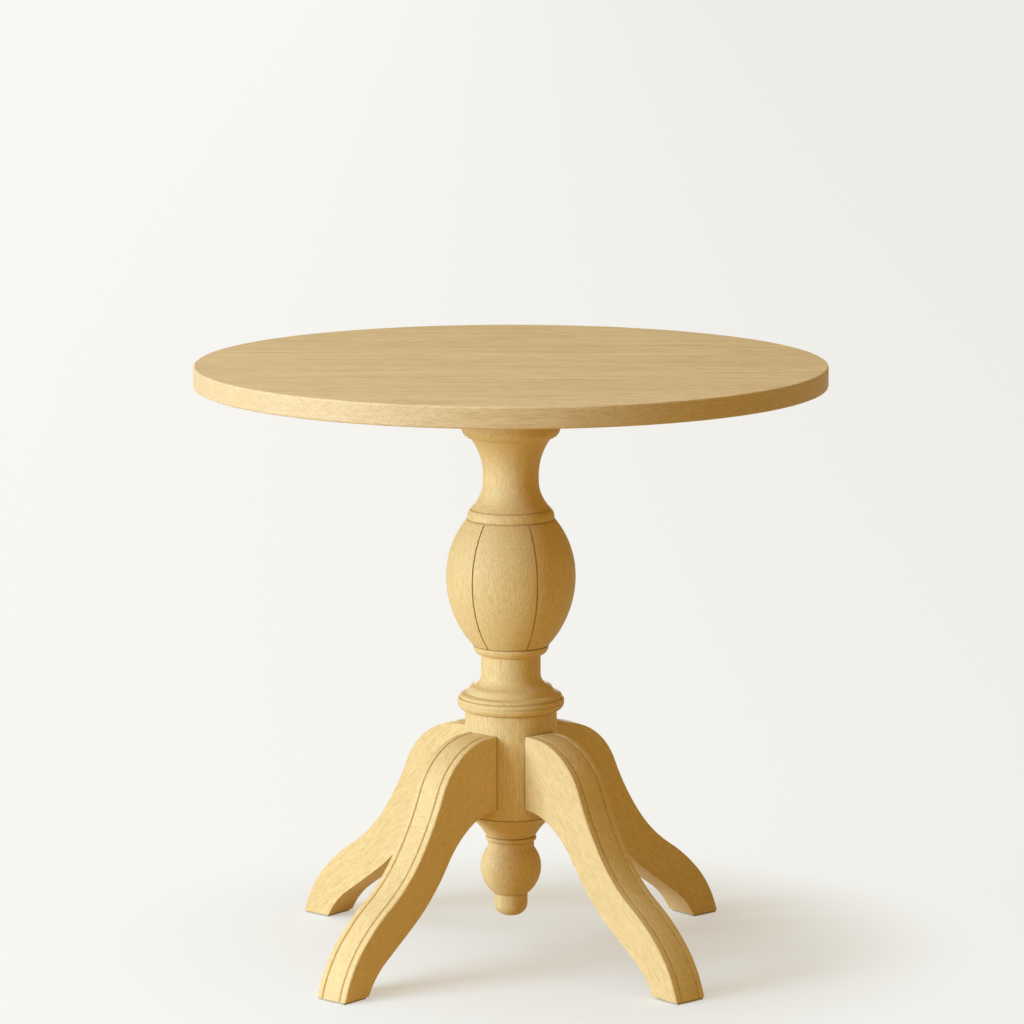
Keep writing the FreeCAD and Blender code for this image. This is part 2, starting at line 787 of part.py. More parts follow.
def tongue_half_length(offset):
    """Gives half the length of the tongue in the joint at a distance from the centre."""
    chord = Size(
        math.sqrt(top_radius.value ** 2 - offset.value ** 2),
        f"sqrt({top_radius.text} ^ 2 - {offset.text} ^ 2)",
    )
    return chord - dim.tongue_end_cover


def disc_outline():
    """Lists half of the top's cross-section, on the side sawn away, each arris eased by two facets."""
    easing, thickness = dim.rim_easing, dim.top_thickness
    middle = easing * dim.rim_facet_share
    return [
        (0, 0, LINE),
        (easing - top_radius, 0, LINE),
        (middle - top_radius, middle, LINE),
        (-top_radius, easing, LINE),
        (-top_radius, thickness - easing, LINE),
        (middle - top_radius, thickness - middle, LINE),
        (easing - top_radius, thickness, LINE),
        (0, thickness, LINE),
    ]


def saw_sides(body, joints):
    """Saws the disc away on both sides of a board that lies on the positive Y side."""
    beyond = top_radius + dim.overrun
    sketch = new_sketch(body, "board_sides", "XY_Plane")
    draw_box(sketch, -beyond, beyond, -beyond, joints[0])
    for joint in joints[1:]:
        draw_box(sketch, -beyond, beyond, joint, beyond)
    pocket(body, sketch)


def plough_grooves(body, joints):
    """Cuts a stopped groove for the tongue into each of the board's joints."""
    low = (dim.top_thickness - tongue_slot) / 2
    depth = dim.tongue_width / 2 + dim.end_clearance
    for index, joint in enumerate(joints):
        half = tongue_half_length(joint) + dim.end_clearance
        sketch = new_sketch(body, f"tongue_groove_{index + 1}", "XY_Plane", lift=low)
        if index == 0:
            draw_box(sketch, -half, half, joint - dim.overrun, joint + depth)
        else:
            draw_box(sketch, -half, half, joint - depth, joint + dim.overrun)
        pocket(body, sketch, tongue_slot, upward=True)


def make_board(label, joints, screw_offset, turn):
    """Makes one board of the disc with its grooves and pilot holes, and turns it to its side of the top."""
    body = new_body(label)
    revolve(body, draw(new_sketch(body, "disc_outline", "YZ_Plane"), disc_outline()))
    saw_sides(body, joints)
    plough_grooves(body, joints)
    holes = new_sketch(body, "screw_pilots", "XY_Plane")
    half_spread = dim.screw_spread / 2
    pilots = [(-half_spread, screw_offset), (half_spread, screw_offset)]
    draw_circles(holes, pilots, dim.screw_radius + dim.fit_clearance)
    pocket(body, holes, dim.screw_bite + dim.end_clearance, upward=True)
    place(body, z=boards_underside, turn=turn)
    return body


def make_tongue(label, offset, shift):
    """Makes the loose tongue of one board joint."""
    tongue = doc.addObject("Part::Box", label)
    tongue.Label = label
    half = tongue_half_length(offset)
    tongue.setExpression("Length", (half * 2).text)
    tongue.setExpression("Width", dim.tongue_width.text)
    tongue.setExpression("Height", dim.tongue_thickness.text)
    low = boards_underside + (dim.top_thickness - dim.tongue_thickness) / 2
    place(tongue, x=-half, y=shift - dim.tongue_width / 2, z=low)
    doc.recompute()
    return tongue


def make_top():
    """Makes the four boards and the three tongues between them."""
    centre = as_size(0)
    half_turn = 2 * RIGHT_ANGLE
    pieces = []
    for side, turn in (("front", half_turn), ("back", 0)):
        middle_joints = (centre, dim.board_width)
        pieces.append(make_board(f"top_board_{side}_middle", middle_joints, inner_screw_offset, turn))
        pieces.append(make_board(f"top_board_{side}_edge", (dim.board_width,), outer_screw_offset, turn))
    for name, offset, shift in (
        ("front", dim.board_width, -dim.board_width),
        ("centre", centre, centre),
        ("back", dim.board_width, dim.board_width),
    ):
        pieces.append(make_tongue(f"top_tongue_{name}", offset, shift))
    return pieces


# Checks and files

def check(pieces):
    """Stops unless every object is up to date and every piece has a valid shape."""
    doc.recompute()
    for item in doc.Objects:
        if "Invalid" in item.State or "Error" in item.State:
            raise RuntimeError(f"{item.Name} failed: {item.State}")
    for piece in pieces:
        if piece.Shape.isNull() or not piece.Shape.isValid():
            raise RuntimeError(f"{piece.Label} has no valid shape")


def write(pieces):
    """Writes each piece to a file of its own, named by its label."""
    os.makedirs("parts", exist_ok=True)
    for piece in pieces:
        piece.Shape.exportStep(f"parts/{piece.Label}.step")
        print(f"{piece.Label}: {len(piece.Shape.Solids)} solid, {piece.Shape.Volume / 1000:.1f} cm3")


parts = make_top()
parts += [make_bearer(), make_bearer_screws(), make_bearer_washers()]
parts += [make_column(), make_tenon_wedge(), make_finial(), make_dowel_screw()]
for leg_side in LEG_TURNS:
    parts += [make_leg(leg_side), make_foot_pad(leg_side)]
check(parts)
write(parts)
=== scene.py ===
"""Looks of a round wine table of pale, bare wood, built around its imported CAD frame."""

import logging
import math
from dataclasses import dataclass
from enum import Enum
from functools import partial
from typing import Callable, Optional

import bmesh
import bpy
from mathutils import Matrix, Vector


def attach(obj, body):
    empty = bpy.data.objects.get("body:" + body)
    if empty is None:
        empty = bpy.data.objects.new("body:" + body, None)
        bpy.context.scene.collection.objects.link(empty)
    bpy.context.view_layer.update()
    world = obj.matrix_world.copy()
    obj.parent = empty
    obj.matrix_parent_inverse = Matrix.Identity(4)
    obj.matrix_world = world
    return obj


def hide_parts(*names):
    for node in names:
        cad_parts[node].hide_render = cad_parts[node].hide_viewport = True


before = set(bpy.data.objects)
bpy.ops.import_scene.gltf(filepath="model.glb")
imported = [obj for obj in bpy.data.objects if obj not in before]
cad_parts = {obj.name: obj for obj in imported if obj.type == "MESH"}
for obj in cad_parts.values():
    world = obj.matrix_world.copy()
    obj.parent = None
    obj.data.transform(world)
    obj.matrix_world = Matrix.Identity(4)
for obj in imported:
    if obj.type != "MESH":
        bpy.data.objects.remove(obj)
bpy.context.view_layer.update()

log = logging.getLogger("wine_table")

Colour = tuple[float, float, float]
Triple = tuple[float, float, float]
Span = tuple[float, float]

RIGHT_ANGLE = 90  # degrees
MIDDLE_TONE = 0.5  # the level that a noise swings about
LINE_CORE = 0.3  # the share of a dark line's half width that is fully dark
MERGE_DISTANCE = 0.00001  # metres


def srgb(red: int, green: int, blue: int) -> Colour:
    """Turns a colour as it looks on a screen into linear light.

    Args:
        red: Red from 0 to 255.
        green: Green from 0 to 255.
        blue: Blue from 0 to 255.

    Returns:
        The three linear parts, from 0 to 1.
    """
    def linear(part: int) -> float:
        """Takes the screen's curve off one part."""
        share = part / 255
        return share / 12.92 if share <= 0.04045 else ((share + 0.055) / 1.055) ** 2.4

    return linear(red), linear(green), linear(blue)


class Field:
    """A number that changes over a surface: a shader socket that takes part in Python arithmetic."""

    def __init__(self, tree: "Tree", socket: bpy.types.NodeSocket) -> None:
        """Keeps the tree that new nodes go to, and the socket that gives the number."""
        self.tree = tree
        self.socket = socket

    def _math(self, operation: str, *terms: "Field | float") -> "Field":
        """Adds one Math node.

        Args:
            operation: The node's operation.
            terms: Its inputs in order.

        Returns:
            The node's result.
        """
        node = self.tree.node("ShaderNodeMath", {"operation": operation}, dict(enumerate(terms)))
        return Field(self.tree, node.outputs[0])

    def __add__(self, other: "Field | float") -> "Field":
        """Adds."""
        return self._math("ADD", self, other)

    def __sub__(self, other: "Field | float") -> "Field":
        """Takes away."""
        return self._math("SUBTRACT", self, other)

    def __rsub__(self, other: float) -> "Field":
        """Is taken away from a number."""
        return self._math("SUBTRACT", other, self)

    def __mul__(self, other: "Field | float") -> "Field":
        """Multiplies."""
        return self._math("MULTIPLY", self, other)

    def __pow__(self, other: float) -> "Field":
        """Raises to a power."""
        return self._math("POWER", self, other)

    def __abs__(self) -> "Field":
        """Drops the sign."""
        return self._math("ABSOLUTE", self)

    def root(self) -> "Field":
        """Takes the square root."""
        return self._math("SQRT", self)

    def wave(self) -> "Field":
        """Takes the sine."""
        return self._math("SINE", self)

    def larger(self, other: "Field | float") -> "Field":
        """Takes the larger of two."""
        return self._math("MAXIMUM", self, other)

    def bearing(self, east: "Field") -> "Field":
        """Takes the angle of the point whose northing this is, from its easting."""
        return self._math("ARCTAN2", self, east)

    def step(self, low: float, high: float) -> "Field":
        """Rises smoothly from 0 to 1 between two levels, or falls where the first is the higher.

        Args:
            low: Where it is 0.
            high: Where it is 1.

        Returns:
            The smooth step.
        """
        settings = {"interpolation_type": "SMOOTHSTEP"}
        inputs = {"Value": self, "From Min": low, "From Max": high}
        return Field(self.tree, self.tree.node("ShaderNodeMapRange", settings, inputs).outputs[0])


class Tree:
    """The node tree of one material."""

    def __init__(self, name: str) -> None:
        """Starts an empty node material of that name."""
        self.material = bpy.data.materials.new(name)
        self.material.use_nodes = True
        self.nodes = self.material.node_tree.nodes
        self.links = self.material.node_tree.links
        self.nodes.clear()

    def node(
        self, kind: str, settings: Optional[dict] = None, inputs: Optional[dict] = None,
    ) -> bpy.types.Node:
        """Adds a node.

        Args:
            kind: The node's type.
            settings: Its own properties; "stops" holds a ramp's places and colours.
            inputs: Values or links of its sockets, by name or number.

        Returns:
            The new node.
        """
        node = self.nodes.new(kind)
        for key, value in (settings or {}).items():
            if key == "stops":
                self._fill_ramp(node.color_ramp, value)
            else:
                setattr(node, key, value)
        for key, value in (inputs or {}).items():
            if isinstance(value, Field):
                value = value.socket
            if isinstance(value, bpy.types.NodeSocket):
                self.links.new(value, node.inputs[key])
            elif isinstance(value, tuple) and node.inputs[key].type == "RGBA":
                node.inputs[key].default_value = (*value, 1)
            else:
                node.inputs[key].default_value = value
        return node

    @staticmethod
    def _fill_ramp(ramp: bpy.types.ColorRamp, stops: list[tuple[float, Colour]]) -> None:
        """Sets a colour ramp's stops, in rising order of place."""
        while len(ramp.elements) < len(stops):
            ramp.elements.new(1)
        for element, (place, colour) in zip(ramp.elements, stops):
            element.position = place
            element.color = (*colour, 1)

    def coordinates(self) -> bpy.types.NodeSocket:
        """Gives the piece's own coordinates, in metres."""
        return self.node("ShaderNodeTexCoord").outputs["Object"]

    def split(self, vector: bpy.types.NodeSocket) -> list[Field]:
        """Gives a vector's three parts."""
        parts = self.node("ShaderNodeSeparateXYZ", inputs={0: vector})
        return [Field(self, socket) for socket in parts.outputs]

    def upward(self) -> Field:
        """Gives how far the surface faces up, from -1 to 1."""
        return self.split(self.node("ShaderNodeNewGeometry").outputs["Normal"])[2]

    def noise(
        self, vector: bpy.types.NodeSocket, stretch: Triple, detail: float, roughness: float = 0.5,
    ) -> Field:
        """Gives noise on coordinates that are stretched part by part.

        Args:
            vector: The coordinates.
            stretch: Repeats per metre along each part.
            detail: How many finer layers it has.
            roughness: How strong the finer layers are.

        Returns:
            The noise, mostly between 0.3 and 0.7.
        """
        scaled = self.node("ShaderNodeVectorMath", {"operation": "MULTIPLY"}, {0: vector, 1: stretch})
        inputs = {"Vector": scaled.outputs[0], "Scale": 1.0, "Detail": detail, "Roughness": roughness}
        return Field(self, self.node("ShaderNodeTexNoise", inputs=inputs).outputs[0])

    def mix(
        self,
        factor: Field,
        first: "bpy.types.NodeSocket | Colour",
        second: "bpy.types.NodeSocket | Colour",
    ) -> bpy.types.NodeSocket:
        """Mixes two colours.

        Args:
            factor: The share of the second.
            first: A colour or a link to one.
            second: A colour or a link to one.

        Returns:
            The mixed colour.
        """
        settings = {"data_type": "RGBA", "blend_type": "MIX"}
        return self.node("ShaderNodeMix", settings, {0: factor, 6: first, 7: second}).outputs[2]

    def finish(self, inputs: dict, height: Field, depth: float) -> bpy.types.Material:
        """Ends the tree in one Principled shader.

        Args:
            inputs: Values or links of the shader's sockets.
            height: The relief.
            depth: How deep the relief is, in metres.

        Returns:
            The finished material.
        """
        relief = {"Strength": 1.0, "Distance": depth, "Height": height}
        bump = self.node("ShaderNodeBump", inputs=relief)
        inputs = {**inputs, "Normal": bump.outputs[0]}
        shader = self.node("ShaderNodeBsdfPrincipled", inputs=inputs)
        self.node("ShaderNodeOutputMaterial", inputs={"Surface": shader.outputs[0]})
        return self.material


class Fibre(Enum):
    """Which way the fibres of a piece run before it is turned to its place."""

    LEVEL = "along X"
    CROSSWISE = "along Y"
    UPRIGHT = "along Z"


def rotation(degrees: float, axis: str) -> Matrix:
    """Makes the turn about one axis.

    Args:
        degrees: How far it turns.
        axis: X, Y or Z.

    Returns:
        The matrix, of three rows.
    """
    return Matrix.Rotation(math.radians(degrees), 3, axis)


@dataclass(frozen=True)
class Grain:
    """How the fibres lie in one piece.

    Attributes:
        fibre: Their direction.
        shift: The piece's place in the log, in metres.
        turn: A turn about Z, in degrees, for level fibres.
        fall: How steeply level fibres fall away from the axis, in degrees.
    """

    fibre: Fibre
    shift: Triple
    turn: float = 0
    fall: float = 0

    def angles(self) -> Triple:
        """Gives the turn that brings the fibres to X, as three angles."""
        if self.fibre is Fibre.UPRIGHT:
            matrix = rotation(RIGHT_ANGLE, "Y")
        elif self.fibre is Fibre.CROSSWISE:
            matrix = rotation(-RIGHT_ANGLE, "Z")
        else:
            matrix = rotation(-self.fall, "Y") @ rotation(-self.turn, "Z")
        return tuple(matrix.to_euler("XYZ"))


Shade = Callable[[Tree], Field]


@dataclass(frozen=True)
class Wood:
    """A bare, sanded wood.

    Stretches are repeats per metre along the fibres and in the two directions across them.

    Attributes:
        pale: The palest tone.
        middle: The middle tone.
        deep: The deepest tone.
        pore: The colour of the pores.
        fibre: The stretch of the fine fibres.
        streak: The stretch of the streaks.
        streak_share: How much of the tone the streaks make.
        pore_stretch: The stretch of the pores.
        ring_width: The width of a year ring, in metres.
        figure: How strong the year rings show.
        pore_share: How strong the pores show.
        contrast: How far the tones spread from the middle one.
        roughness: The mean roughness.
        cloud_share: How much of the tone broad clouds make.
        edge_calm: How much of its grain an upright surface loses.
        upright_painted_shade: How far the tone falls on upright surfaces, where the grain is calmed: a
            painted shade.
        painted_shade: The colour of the shade painted into grooves, creases and joints.
        cloud: The stretch of the clouds.
        drift: The stretch of the noise that bends the year rings.
        ring_drift: How far the rings are bent, in metres.
        ring_sharpness: The power that narrows the dark part of a ring.
        ring_mean: The mean level of the narrowed rings.
        fine_layers: The finer layers of fibres and streaks.
        broad_layers: The finer layers of clouds, bends and pores.
        fibre_roughness: How strong the finer layers of the fibres are.
        streak_roughness: How strong the finer layers of streaks and pores are.
        pore_span: The levels of noise between which a pore begins.
        upright_span: How far a flat and an upright surface face up or down.
        tone_stops: The levels of the deep, the middle and the pale tone.
        fibre_height: How high the fibres stand in the relief.
        streak_height: How high the streaks stand in it.
        pore_depth: How deep the pores lie in it.
        roughness_swing: How far the fibres vary the roughness.
        relief: The relief's depth, in metres.
    """

    pale: Colour
    middle: Colour
    deep: Colour
    pore: Colour
    fibre: Triple
    streak: Triple
    streak_share: float
    pore_stretch: Triple
    ring_width: float
    figure: float
    pore_share: float
    contrast: float
    roughness: float
    cloud_share: float = 0.15
    edge_calm: float = 0
    upright_painted_shade: float = 0
    painted_shade: Colour = srgb(128, 88, 36)
    cloud: Triple = (2.5, 22, 22)
    drift: Triple = (1.6, 14, 14)
    ring_drift: float = 0.05
    ring_sharpness: float = 3
    ring_mean: float = 0.3
    fine_layers: float = 3
    broad_layers: float = 2
    fibre_roughness: float = 0.65
    streak_roughness: float = 0.6
    pore_span: Span = (0.52, 0.7)
    upright_span: Span = (0.8, 0.3)
    tone_stops: Triple = (0.36, MIDDLE_TONE, 0.64)
    fibre_height: float = 0.5
    streak_height: float = 0.3
    pore_depth: float = 0.6
    roughness_swing: float = 0.18
    relief: float = 0.0002

    def material(self, name: str, grain: Grain, shade: Optional[Shade] = None) -> bpy.types.Material:
        """Makes this wood for one piece.

        Args:
            name: The material's name.
            grain: How the fibres lie in the piece.
            shade: Gives the places where a painted shade darkens the wood, in grooves, creases and
                joints, from 0 to 1.

        Returns:
            The material.
        """
        tree = Tree(name)
        settings = {"vector_type": "POINT"}
        inputs = {"Vector": tree.coordinates(), "Location": grain.shift, "Rotation": grain.angles()}
        place = tree.node("ShaderNodeMapping", settings, inputs).outputs[0]

        fibre = tree.noise(place, self.fibre, self.fine_layers, self.fibre_roughness)
        streak = tree.noise(place, self.streak, self.fine_layers, self.streak_roughness)
        cloud = tree.noise(place, self.cloud, self.broad_layers)
        drift = tree.noise(place, self.drift, self.broad_layers)
        _, across, depth = tree.split(place)
        radius = (across * across + depth * depth).root() + drift * self.ring_drift
        ring = (radius * (2 * math.pi / self.ring_width)).wave() * 0.5 + 0.5
        pores = tree.noise(place, self.pore_stretch, self.broad_layers, self.streak_roughness)
        pores = pores.step(*self.pore_span)

        tone = fibre * (1 - self.streak_share - self.cloud_share) + streak * self.streak_share
        rings = (ring ** self.ring_sharpness - self.ring_mean) * self.figure
        tone = tone + cloud * self.cloud_share - rings
        # Upright surfaces lose grain contrast and also take a painted shade that lowers their tone.
        plain = abs(tree.upward()).step(*self.upright_span) * self.edge_calm
        spread = (tone - MIDDLE_TONE) * ((1 - plain) * self.contrast)
        tone = spread + MIDDLE_TONE - plain * self.upright_painted_shade
        pores = pores * (1 - plain)
        stops = list(zip(self.tone_stops, (self.deep, self.middle, self.pale)))
        colour = tree.node("ShaderNodeValToRGB", {"stops": stops}, {0: tone}).outputs[0]
        colour = tree.mix(pores * self.pore_share, colour, self.pore)
        if shade is not None:
            # Painted shade: grooves, creases and joints are darkened here.
            colour = tree.mix(shade(tree), colour, self.painted_shade)
        height = fibre * self.fibre_height + streak * self.streak_height - pores * self.pore_depth
        roughness = fibre * self.roughness_swing + (self.roughness - self.roughness_swing / 2)
        inputs = {"Base Color": colour, "Roughness": roughness}
        return tree.finish(inputs, height, self.relief)


@dataclass(frozen=True)
class Felt:
    """Pressed felt: a matted pile of two tones."""

    name: str
    light: Colour
    dark: Colour
    pile_stretch: Triple = (2600, 2600, 2600)
    pile_layers: float = 3
    pile_roughness: float = 0.7
    pile_share: float = 0.7
    clump_stretch: Triple = (420, 420, 420)
    clump_layers: float = 2
    clump_share: float = 0.3
    tone_span: Span = (0.35, 0.65)
    roughness: float = 0.95
    sheen: float = 0.3
    relief: float = 0.0005

    def material(self) -> bpy.types.Material:
        """Makes the felt."""
        tree = Tree(self.name)
        place = tree.coordinates()
        pile = tree.noise(place, self.pile_stretch, self.pile_layers, self.pile_roughness)
        clump = tree.noise(place, self.clump_stretch, self.clump_layers)
        tone = (pile * self.pile_share + clump * self.clump_share).step(*self.tone_span)
        colour = tree.mix(tone, self.dark, self.light)
        inputs = {"Base Color": colour, "Roughness": self.roughness, "Sheen Weight": self.sheen}
        return tree.finish(inputs, pile, self.relief)


@dataclass(frozen=True)
class Zinc:
    """Zinc-plated steel with fine drawn lines and a few dull spots."""

    name: str
    bright: Colour
    dull: Colour
    line_stretch: Triple = (300, 300, 4200)
    line_layers: float = 2
    line_roughness: float = 0.2
    spot_stretch: Triple = (260, 260, 260)
    spot_layers: float = 3
    spot_span: Span = (0.55, 0.7)
    spot_share: float = 0.6
    spot_roughness: float = 0.15
    roughness: float = 0.22
    relief: float = 0.00004

    def material(self) -> bpy.types.Material:
        """Makes the plated steel."""
        tree = Tree(self.name)
        place = tree.coordinates()
        lines = tree.noise(place, self.line_stretch, self.line_layers)
        spots = tree.noise(place, self.spot_stretch, self.spot_layers).step(*self.spot_span)
        colour = tree.mix(spots * self.spot_share, self.bright, self.dull)
        roughness = lines * self.line_roughness + spots * self.spot_roughness + self.roughness
        inputs = {"Base Color": colour, "Metallic": 1.0, "Roughness": roughness}
        return tree.finish(inputs, lines, self.relief)


TOP_WOOD = Wood(
    pale=srgb(233, 208, 169),
    middle=srgb(224, 197, 155),
    deep=srgb(204, 174, 130),
    pore=srgb(158, 122, 78),
    fibre=(45, 900, 900),
    streak=(5, 170, 520),
    streak_share=0.35,
    pore_stretch=(11, 330, 900),
    ring_width=0.006,
    figure=0.02,
    pore_share=0.35,
    contrast=1.65,
    roughness=0.58,
    cloud_share=0.07,
    edge_calm=0.6,
    upright_painted_shade=0.1,
)
TURNED_WOOD = Wood(
    pale=srgb(238, 210, 156),
    middle=srgb(229, 200, 143),
    deep=srgb(218, 187, 128),
    pore=srgb(188, 148, 90),
    fibre=(85, 1250, 1250),
    streak=(9, 330, 330),
    streak_share=0.12,
    pore_stretch=(130, 1000, 1000),
    ring_width=0.005,
    figure=0.02,
    pore_share=0.3,
    contrast=1.25,
    roughness=0.6,
    cloud_share=0.08,
)
INNER_WOOD = Wood(
    pale=srgb(228, 198, 148),
    middle=srgb(216, 184, 132),
    deep=srgb(198, 164, 112),
    pore=srgb(150, 112, 66),
    fibre=(45, 900, 900),
    streak=(7, 180, 180),
    streak_share=0.45,
    pore_stretch=(120, 1400, 1400),
    ring_width=0.007,
    figure=0.1,
    pore_share=0.4,
    contrast=1.0,
    roughness=0.66,
)
FELT = Felt("felt", light=srgb(214, 203, 180), dark=srgb(176, 163, 138))
ZINC = Zinc("zinc_plate", bright=srgb(205, 207, 206), dull=srgb(150, 151, 148))


def merged(node: str, crease: float, soft: tuple[Span, ...] = ()) -> bpy.types.Object:
    """Makes a merged, smooth-shaded copy that stands for a CAD node.

    Args:
        node: The CAD node.
        crease: Edges that turn by more than this many degrees stay sharp.
        soft: The spans of height in which sanding has softened every edge.

    Returns:
        The new piece.
    """
    mesh = bpy.data.meshes.new(f"{node}_piece")
    shape = bmesh.new()
    shape.from_mesh(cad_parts[node].data)
    bmesh.ops.remove_doubles(shape, verts=shape.verts, dist=MERGE_DISTANCE)
    for face in shape.faces:
        face.smooth = True
    for edge in shape.edges:
        sanded = any(all(low < corner.co.z < high for corner in edge.verts) for low, high in soft)
        edge.smooth = edge.is_manifold and (sanded or edge.calc_face_angle() < math.radians(crease))
    shape.to_mesh(mesh)
    shape.free()
    if "custom_normal" in mesh.attributes:
        mesh.attributes.remove(mesh.attributes["custom_normal"])
    piece = bpy.data.objects.new(f"{node}_piece", mesh)
    bpy.context.scene.collection.objects.link(piece)
    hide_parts(node)
    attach(piece, "root")
    log.info("%s: %d faces", piece.name, len(mesh.polygons))
    return piece


def coat(piece: bpy.types.Object, material: bpy.types.Material) -> None:
    """Gives a piece one material all over."""
    piece.data.materials.clear()
    piece.data.materials.append(material)


def paint_node(node: str, material: bpy.types.Material) -> None:
    """Gives a CAD node that stays in view one material all over."""
    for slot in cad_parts[node].material_slots:
        slot.material = material
    log.info("%s: CAD solid in %s", node, material.name)


@dataclass
class BoardedTop:
    """The round top: four boards with level grain, and the tongues between them."""

    crease: float = 18
    log_shifts: tuple[Triple, ...] = (
        (0.31, 0.236, -0.58), (-0.17, 0.085, -0.6), (0.52, -0.07, -0.57), (-0.4, -0.231, -0.59),
    )
    tongue_shift: Triple = (0.2, 0.4, -0.5)
    boards: tuple[str, ...] = ("front_edge", "front_middle", "back_middle", "back_edge")
    tongues: tuple[str, ...] = ("front", "centre", "back")

    def build(self) -> list[bpy.types.Object]:
        """Makes the boards' pieces."""
        return [merged(f"top_board_{board}", self.crease) for board in self.boards]

    def dress(self, pieces: list[bpy.types.Object]) -> None:
        """Gives each board its own part of the log, and the tongues plain wood."""
        for piece, shift in zip(pieces, self.log_shifts):
            coat(piece, TOP_WOOD.material(f"{piece.name}_wood", Grain(Fibre.LEVEL, shift)))
        plain = INNER_WOOD.material("tongue_wood", Grain(Fibre.LEVEL, self.tongue_shift))
        for tongue in self.tongues:
            paint_node(f"top_tongue_{tongue}", plain)


def level_lines(height: Field, levels: tuple[float, ...], half_width: float) -> Field:
    """Marks the thin level lines where two mouldings meet, for a painted shade.

    Args:
        height: The height over the floor.
        levels: The lines' heights, in metres.
        half_width: How far a line reaches up and down.

    Returns:
        1 on a line, 0 away from it.
    """
    core = half_width * LINE_CORE
    marked = abs(height - levels[0]).step(half_width, core)
    for level in levels[1:]:
        marked = marked.larger(abs(height - level).step(half_width, core))
    return marked


@dataclass
class Pedestal:
    """The turned column and finial, with the wedge and the screw inside them."""

    crease: float = 24
    column_shift: Triple = (0.05, 0.02, 0.055)
    finial_shift: Triple = (0.4, -0.035, 0.05)
    wedge_shift: Triple = (0.1, 0.3, 0.2)
    column_lines: tuple[float, ...] = (0.238, 0.2501, 0.3003, 0.4222, 0.4317)
    sanded_spans: tuple[Span, ...] = ((0.2444, 0.2461), (0.2603, 0.2611))
    finial_lines: tuple[float, ...] = (0.1368, 0.1143, 0.1094, 0.0576)
    line_half_width: float = 0.001
    line_strength: float = 0.35
    incised_strength: float = 0.3
    bulb_low: float = 0.301
    bulb_high: float = 0.4215
    bulb_lines: int = 6
    bulb_line_angle: float = 54
    bulb_line_share: float = 0.06
    bulb_line_core: float = 0.4

    def build(self) -> list[bpy.types.Object]:
        """Makes the turned pieces."""
        column = merged("column", self.crease, self.sanded_spans)
        return [column, merged("finial", self.crease)]

    def dress(self, pieces: list[bpy.types.Object]) -> None:
        """Gives the turned pieces upright grain, and the hidden ones their own finish."""
        column, finial = pieces
        upright = Grain(Fibre.UPRIGHT, self.column_shift)
        coat(column, TURNED_WOOD.material("column_wood", upright, self.column_shade))
        upright = Grain(Fibre.UPRIGHT, self.finial_shift)
        coat(finial, TURNED_WOOD.material("finial_wood", upright, self.finial_shade))
        upright = Grain(Fibre.UPRIGHT, self.wedge_shift)
        paint_node("tenon_wedge", INNER_WOOD.material("wedge_wood", upright))
        paint_node("finial_dowel_screw", ZINC.material())

    def column_shade(self, tree: Tree) -> Field:
        """Paints shade on the lines between the column's mouldings and into the incised lines of its
        bulb.
        """
        east, north, up = tree.split(tree.coordinates())
        # Painted shade in the bulb's incised lines and on the lines between the mouldings.
        turn = north.bearing(east) - math.radians(self.bulb_line_angle)
        beside = abs((turn * (self.bulb_lines / 2)).wave())
        upright = beside.step(self.bulb_line_share, self.bulb_line_share * self.bulb_line_core)
        upright = upright * up.step(self.bulb_low, self.bulb_low + self.line_half_width)
        upright = upright * up.step(self.bulb_high, self.bulb_high - self.line_half_width)
        level = level_lines(up, self.column_lines, self.line_half_width) * self.line_strength
        return level.larger(upright * self.incised_strength)

    def finial_shade(self, tree: Tree) -> Field:
        """Paints shade on the lines between the finial's mouldings."""
        up = tree.split(tree.coordinates())[2]
        return level_lines(up, self.finial_lines, self.line_half_width) * self.line_strength


@dataclass
class Legs:
    """The four carved legs and the felt under their feet."""

    crease: float = 13
    fall: float = 41
    hub_radius: float = 0.0441
    hub_shade_width: float = 0.0018
    hub_shade_strength: float = 0.85
    groove_place: float = 0.0108
    groove_half_width: float = 0.0013
    groove_strength: float = 0.15
    crest_span: Span = (-0.05, 0.1)
    first_shift: Triple = (0, 0.03, 0.05)
    next_shift: Triple = (0.13, 0.021, -0.017)
    turns: tuple[tuple[str, float], ...] = (
        ("front_left", 229), ("front_right", 311), ("back_left", 140), ("back_right", 40),
    )

    def build(self) -> list[bpy.types.Object]:
        """Makes the legs' pieces."""
        return [merged(f"leg_{side}", self.crease) for side, _ in self.turns]

    def dress(self, pieces: list[bpy.types.Object]) -> None:
        """Lays each leg's grain along the leg, and gives the feet their felt."""
        for index, (piece, (_, turn)) in enumerate(zip(pieces, self.turns)):
            shift = tuple(first + index * step for first, step in zip(self.first_shift, self.next_shift))
            grain = Grain(Fibre.LEVEL, shift, turn, self.fall)
            shade = partial(self.leg_shade, turn=turn)
            coat(piece, TURNED_WOOD.material(f"{piece.name}_wood", grain, shade))
        felt = FELT.material()
        for side, _ in self.turns:
            paint_node(f"pad_{side}", felt)

    def leg_shade(self, tree: Tree, turn: float) -> Field:
        """Paints shade along the joint at the hub and into the two grooves along the top of a leg.

        Args:
            tree: The leg's material.
            turn: The leg's direction, in degrees from X.

        Returns:
            The painted shade, from 0 to 1.
        """
        east, north, _ = tree.split(tree.coordinates())
        radius = (east * east + north * north).root()
        # Painted shade along the joint with the hub and in the crest's two grooves.
        painted_shade = radius.step(self.hub_radius + self.hub_shade_width, self.hub_radius)
        angle = math.radians(turn)
        beside = abs(abs(north * math.cos(angle) - east * math.sin(angle)) - self.groove_place)
        groove = beside.step(self.groove_half_width, self.groove_half_width * LINE_CORE)
        groove = groove * tree.upward().step(*self.crest_span)
        return (painted_shade * self.hub_shade_strength).larger(groove * self.groove_strength)


